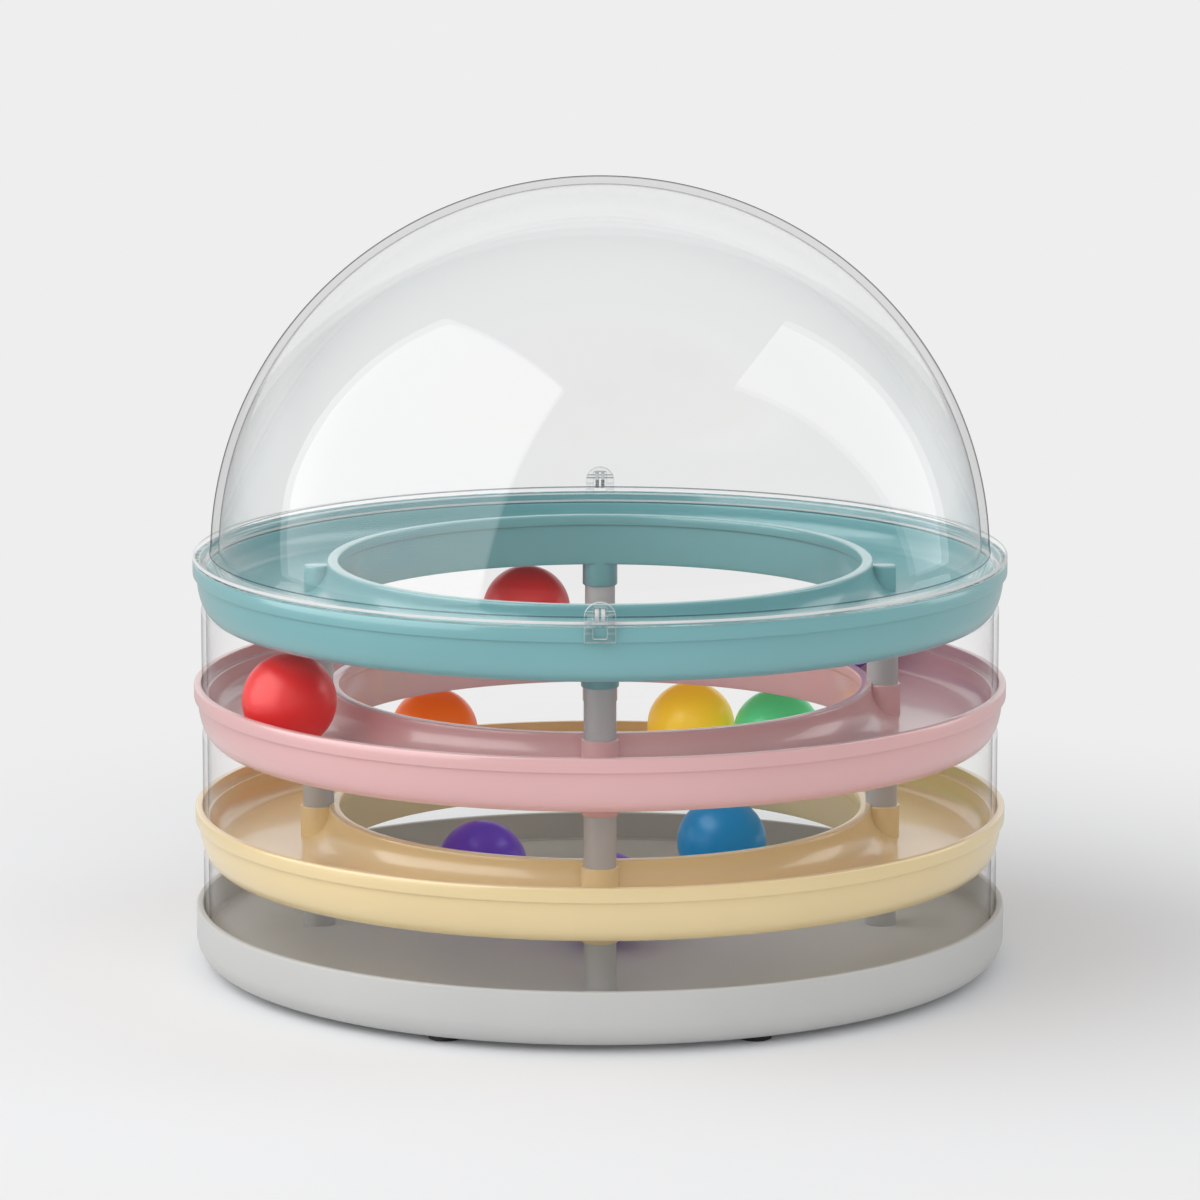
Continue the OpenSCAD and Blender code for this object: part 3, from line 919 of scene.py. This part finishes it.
def tracks():
    """The three ring tracks with their post collars, sockets and caps."""
    for colour, rim in TRACK_RIM.items():
        finish = TRACK_FINISH[colour]
        ring = turned(f"{colour}_ring_track", raised(track_outline(), rim), finish)
        grip = post_grip(rim, finish, capped=colour == "teal")
        drill = post_drill(rim, finish, capped=colour == "teal")
        grow(ring, FITTED, shape=grip, count=POST_COUNT, ring_radius=POST_RING_R, material=finish)
        grow(ring, BORED, shape=drill, count=POST_COUNT, ring_radius=POST_RING_R, material=finish)
        discard(grip, drill)
        smooth(ring)
        place_on(ring, "tower", f"track_{colour}", f"{colour}_track")


def posts():
    """Four posts between each two levels."""
    for level in LEVELS:
        nodes = [f"{level}_post_{i + 1}" for i in range(POST_COUNT)]
        low, high = (corner.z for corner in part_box(nodes[0]))
        ring = rod(f"{level}_posts", POST_R, low, high, POST_FINISH, POST_EDGE_R, POST_EDGE_R, POST_STEPS)
        grow(ring, RING, count=POST_COUNT, ring_radius=POST_RING_R, material=POST_FINISH)
        smooth(ring)
        place_on(ring, "tower", "post_grey", *nodes)


def sleeves():
    """The clear wall between each two levels."""
    for level in LEVELS:
        node = f"{level}_sleeve"
        wall = turned(f"{level}_clear_wall", sleeve_outline(node), WALL_FINISH, steps=DOME_STEPS)
        place_on(wall, "tower", "clear_wall", node)


# Dome, clips and balls

def ears(side, turn):
    """Two ears on the dome's flange that hold a clip's pin."""
    foot_z = FLANGE_TOP - EAR_SINK
    foot = [(PIN_OUT_R - EAR_BACK, foot_z), (TOWER_R - EDGE_R, foot_z)]
    outline = foot + flat(arc(PIN_OUT_R, PIN_Z, EAR_R, EAR_R, *EAR_SPAN, EAR_ARC_STEPS))
    facing = Matrix.Rotation(math.radians(turn), 4, "Z")
    parts = []
    for way in (-1, 1):
        ear = plate(f"{side}_ear", outline, [], EAR_T, DOME_FINISH, EAR_BEVEL)
        aside = Matrix.Translation((0, way * (EAR_SPLIT + EAR_T) / 2, 0))
        parts.append(moved(ear, facing @ aside @ Matrix.Rotation(math.pi / 2, 4, "X")))
    return parts


def dome():
    """The clear dome, with the ears of its clips."""
    shell = turned("clear_dome_shell", dome_outline(), DOME_FINISH, closed=False, steps=DOME_STEPS)
    parts = [ear for side, turn in CLIP_SIDES.items() for ear in ears(side, turn)]
    lugs = joined("clip_ears", *parts)
    place_on(shell, "dome", "clear_dome", "dome")
    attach(lugs, "dome")


def clip_body(side):
    """A clip's arched plate with its window, drawn in (across, up) at its distance from the middle."""
    half = CLIP_W / 2
    arch = [(-half, CLIP_LOW), (half, CLIP_LOW)]
    arch += flat(arc(0, CLIP_HIGH - half, half, half, 0, 180, CLIP_ARC_STEPS))
    window_low = CLIP_LOW + CLIP_BAR_H
    window_top = CLIP_HIGH - CLIP_ARCH_H
    window = rounded(
        [
            (-SLOT_W / 2, window_low, WINDOW_LOW_R),
            (SLOT_W / 2, window_low, WINDOW_LOW_R),
            (SLOT_W / 2, window_top, WINDOW_TOP_R),
            (-SLOT_W / 2, window_top, WINDOW_TOP_R),
        ]
    )
    body = plate(f"{side}_clip_plate", arch, [window], CLIP_T, CLIP_FINISH, CLIP_BEVEL)
    return moved(body, Matrix.Translation((0, 0, PIN_OUT_R)))


def grip_ribs(way):
    """The row of ribs on a clip's leg at one side of its window."""
    half = CLIP_LEG_W * RIB_SHARE / 2
    outline = rounded([(-half, 0, 0), (half, 0, 0), (half, RIB_H, RIB_EDGE_R), (-half, RIB_H, RIB_EDGE_R)])
    rib = plate("rib", outline, [], RIB_DEPTH, CLIP_FINISH, RIB_BEVEL)
    across = way * (SLOT_W + CLIP_LEG_W) / 2
    moved(rib, Matrix.Translation((across, CLIP_LOW + RIB_START, CLIP_IN_R + CLIP_T)))
    return grow(rib, ROW, count=RIB_COUNT, step=(0, RIB_STEP, 0), material=CLIP_FINISH)


def upright(turn):
    """Takes a plate drawn in (across, up) to the front of the tower, or to the rear."""
    stand = Matrix(((0, 0, 1, 0), (1, 0, 0, 0), (0, 1, 0, 0), (0, 0, 0, 1)))
    return Matrix.Rotation(math.radians(turn), 4, "Z") @ stand


def clips():
    """The two clips, and the pins that they swing on."""
    for side, turn in CLIP_SIDES.items():
        clip = joined(f"{side}_clip_lever", clip_body(side), grip_ribs(-1), grip_ribs(1))
        moved(clip, upright(turn))
        place_on(smooth(clip), f"{side}_clip", "clear_clip", f"{side}_clip")
        end = CLIP_W / 2 - PIN_INSET
        pin_r = PIN_R - PIN_FIT
        pin = rod(f"{side}_pivot_pin", pin_r, -end, end, CLIP_FINISH, PIN_EDGE_R, PIN_EDGE_R, PIN_STEPS)
        at_ears = Matrix.Translation((0, math.copysign(PIN_OUT_R, turn), PIN_Z))
        moved(pin, at_ears @ Matrix.Rotation(math.pi / 2, 4, "Y"))
        place_on(smooth(pin), "dome", "clear_clip", f"{side}_clip_pin")


def balls():
    """The loose balls, each with a hairline seam where its two halves meet.

    The seam is turned to lie along the ball's outline as the photograph shows it.
    """
    lean = Matrix.Rotation(math.pi / 2 - CAMERA_ELEVATION, 4, "X")
    for node in [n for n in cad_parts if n.startswith("ball_")]:
        low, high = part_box(node)
        radius = (high.z - low.z) / 2
        lower = flat(arc(0, 0, radius, radius, -90, -SEAM_HALF_DEG, BALL_ARC_STEPS))
        upper = flat(arc(0, 0, radius, radius, SEAM_HALF_DEG, 90, BALL_ARC_STEPS))
        outline = lower + [(radius - SEAM_DEPTH, 0)] + upper
        colour = node.split("_")[1]
        ball = turned(f"{node}_shell", outline, BALL_FINISH[colour], closed=False, steps=BALL_STEPS)
        moved(ball, Matrix.Translation((low + high) / 2) @ lean)
        place_on(ball, node, f"ball_{colour}", node)


# Studio

PALE = linear(238, 238, 238)
FLOOR_R = 30
FLOOR_SIDES = 96
FLOOR_COLOUR = (0.845, 0.855, 0.866, 1)
FLOOR_MIRRORED = 0.6
# Where the floor starts to fade into the background, and where it has
FADE_START = 0.17
FADE_END = 0.5
AMBIENT = 0.56
# A glow that only reflections show: its direction, the cosines where it fades, and the strength around it
GLOW_WAY = (0, 0.93, 0.37)
GLOW_EDGE = (0.85, 0.865)
GLOW_AROUND = 0.25
# A dimmer strip low behind the tower: where it ends upwards and to the front, and its strength
SKYLINE_TOP = (0.2, 0.45)
SKYLINE_FRONT = (0.25, 0.55)
SKYLINE_STRENGTH = 0.62
PANEL_AIM = Vector((0, 0, 0.2))
LEFT_SOFTBOX = [
    (-1.36, 0.27, 0.02),
    (-1.3, 0.37, 0.43),
    (-0.73, 0.19, 1.32),
    (-0.22, -0.7, 1.37),
    (-0.72, -1.21, 0.45),
    (-0.8, -1.2, 0.02),
]
RIGHT_SOFTBOX = [
    (0.77, -0.42, 1.27),
    (0.83, 0.34, 1.22),
    (1.21, 0.63, 0.34),
    (1.21, 0.64, 0.02),
    (1.36, 0.25, 0.02),
    (1.26, -0.12, 0.77),
]


def studio_floor():
    """A pale floor that keeps the tower's shadow and fades into the background."""
    mesh = bpy.data.meshes.new("floor")
    work = bmesh.new()
    bmesh.ops.create_circle(work, cap_ends=True, radius=FLOOR_R, segments=FLOOR_SIDES)
    work.to_mesh(mesh)
    work.free()
    floor = new_object("floor", mesh)
    material, tree, out = new_material("pale_floor")
    far = vector_maths(tree, "LENGTH", object_place(tree))["Value"]
    fade = ramp(tree, far, FADE_START, FADE_END, kind="SMOOTHSTEP")
    matt = add(tree, "ShaderNodeBsdfDiffuse", {"Color": FLOOR_COLOUR})
    strength = spread(tree, add(tree, "ShaderNodeLightPath").outputs["Is Glossy Ray"], 1.0, FLOOR_MIRRORED)
    lit = add(tree, "ShaderNodeEmission", {"Color": PALE, "Strength": strength})
    tree.links.new(mix_shaders(tree, fade, matt.outputs[0], lit.outputs[0]), out.inputs["Surface"])
    mesh.materials.append(material)


def studio_room():
    """The world: even light, a pale background, and what glossy faces mirror of the room."""
    world = bpy.data.worlds.new("studio")
    bpy.context.scene.world = world
    world.use_nodes = True
    tree = world.node_tree
    tree.nodes.clear()
    out = add(tree, "ShaderNodeOutputWorld")
    way = add(tree, "ShaderNodeTexCoord").outputs["Generated"]
    toward = vector_maths(tree, "DOT_PRODUCT", way, GLOW_WAY)["Value"]
    glow = ramp(tree, toward, *GLOW_EDGE, low=GLOW_AROUND)
    heading = add(tree, "ShaderNodeSeparateXYZ", {0: way}).outputs
    low = ramp(tree, heading["Z"], *SKYLINE_TOP, low=1.0, high=0.0)
    skyline = maths(tree, "MULTIPLY", low, ramp(tree, heading["Y"], *SKYLINE_FRONT))
    bright = maths(tree, "MAXIMUM", glow, maths(tree, "MULTIPLY", skyline, SKYLINE_STRENGTH))
    mirrored = add(tree, "ShaderNodeBackground", {"Color": (1, 1, 1, 1), "Strength": bright})
    ambient = add(tree, "ShaderNodeBackground", {"Color": (1, 1, 1, 1), "Strength": AMBIENT})
    back = add(tree, "ShaderNodeBackground", {"Color": PALE, "Strength": 1.0})
    seen = add(tree, "ShaderNodeLightPath").outputs
    light = mix_shaders(tree, seen["Is Glossy Ray"], ambient.outputs[0], mirrored.outputs[0])
    clear = maths(tree, "MAXIMUM", seen["Is Camera Ray"], seen["Is Transmission Ray"])
    tree.links.new(mix_shaders(tree, clear, light, back.outputs[0]), out.inputs["Surface"])


def panel(name, way, along, distance, width, height, power):
    """A soft panel that faces the dome from a direction, its width lying along another."""
    lamp = bpy.data.lights.new(name, "AREA")
    lamp.shape = "RECTANGLE"
    lamp.size = width
    lamp.size_y = height
    lamp.energy = power
    obj = new_object(name, lamp)
    back = Vector(way).normalized()
    side = (Vector(along) - back * back.dot(Vector(along))).normalized()
    turn = Matrix((side, back.cross(side), back)).transposed().to_4x4()
    obj.matrix_world = Matrix.Translation(PANEL_AIM + back * distance) @ turn
    obj.visible_camera = False
    obj.visible_glossy = False


def card(name, corners, strength):
    """A glowing card that only shows in reflections, where the photograph shows a softbox."""
    mesh = bpy.data.meshes.new(name)
    mesh.from_pydata(corners, [], [range(len(corners))])
    material, tree, out = new_material(name)
    lit = add(tree, "ShaderNodeEmission", {"Color": (1, 1, 1, 1), "Strength": strength})
    tree.links.new(lit.outputs[0], out.inputs["Surface"])
    mesh.materials.append(material)
    obj = new_object(name, mesh)
    for ray in ("camera", "diffuse", "transmission", "shadow", "volume_scatter"):
        setattr(obj, f"visible_{ray}", False)


def studio_lights():
    """Three soft panels that light the tower, and two cards for the dome to mirror."""
    panel(
        "left_panel",
        way=(-0.789, -0.226, 0.582),
        along=(0.332, -0.942, -0.051),
        distance=1.3,
        width=2.1,
        height=1.4,
        power=13.5,
    )
    panel(
        "right_panel",
        way=(0.838, 0.208, 0.505),
        along=(0.106, -0.451, 0.011),
        distance=1.3,
        width=0.6,
        height=1.3,
        power=2,
    )
    panel(
        "front_panel",
        way=(0.1, -0.93, 0.35),
        along=(1, 0, 0),
        distance=1.6,
        width=1.6,
        height=0.8,
        power=5.5,
    )
    card("left_softbox", LEFT_SOFTBOX, strength=3.2)
    card("right_softbox", RIGHT_SOFTBOX, strength=2.2)


def photo_camera():
    """The camera at the photograph's place, and how the scene is shown."""
    camera = bpy.data.cameras.new("camera")
    camera.sensor_width = SENSOR_MM
    camera.lens = FOCAL_PX / PHOTO_PX * SENSOR_MM
    camera.clip_end = CAMERA_FAR
    obj = new_object("camera", camera)
    away = Vector((0, -math.cos(CAMERA_ELEVATION), math.sin(CAMERA_ELEVATION)))
    obj.location = CAMERA_TARGET + away * CAMERA_DISTANCE
    obj.rotation_euler = (-away).to_track_quat("-Z", "Y").to_euler()
    bpy.context.scene.camera = obj
    bpy.context.scene.view_settings.view_transform = "Standard"
    bpy.context.scene.cycles.transparent_max_bounces = CLEAR_LAYERS


studio_floor()
studio_room()
studio_lights()
photo_camera()
base()
feet()
tracks()
posts()
sleeves()
dome()
clips()
balls()
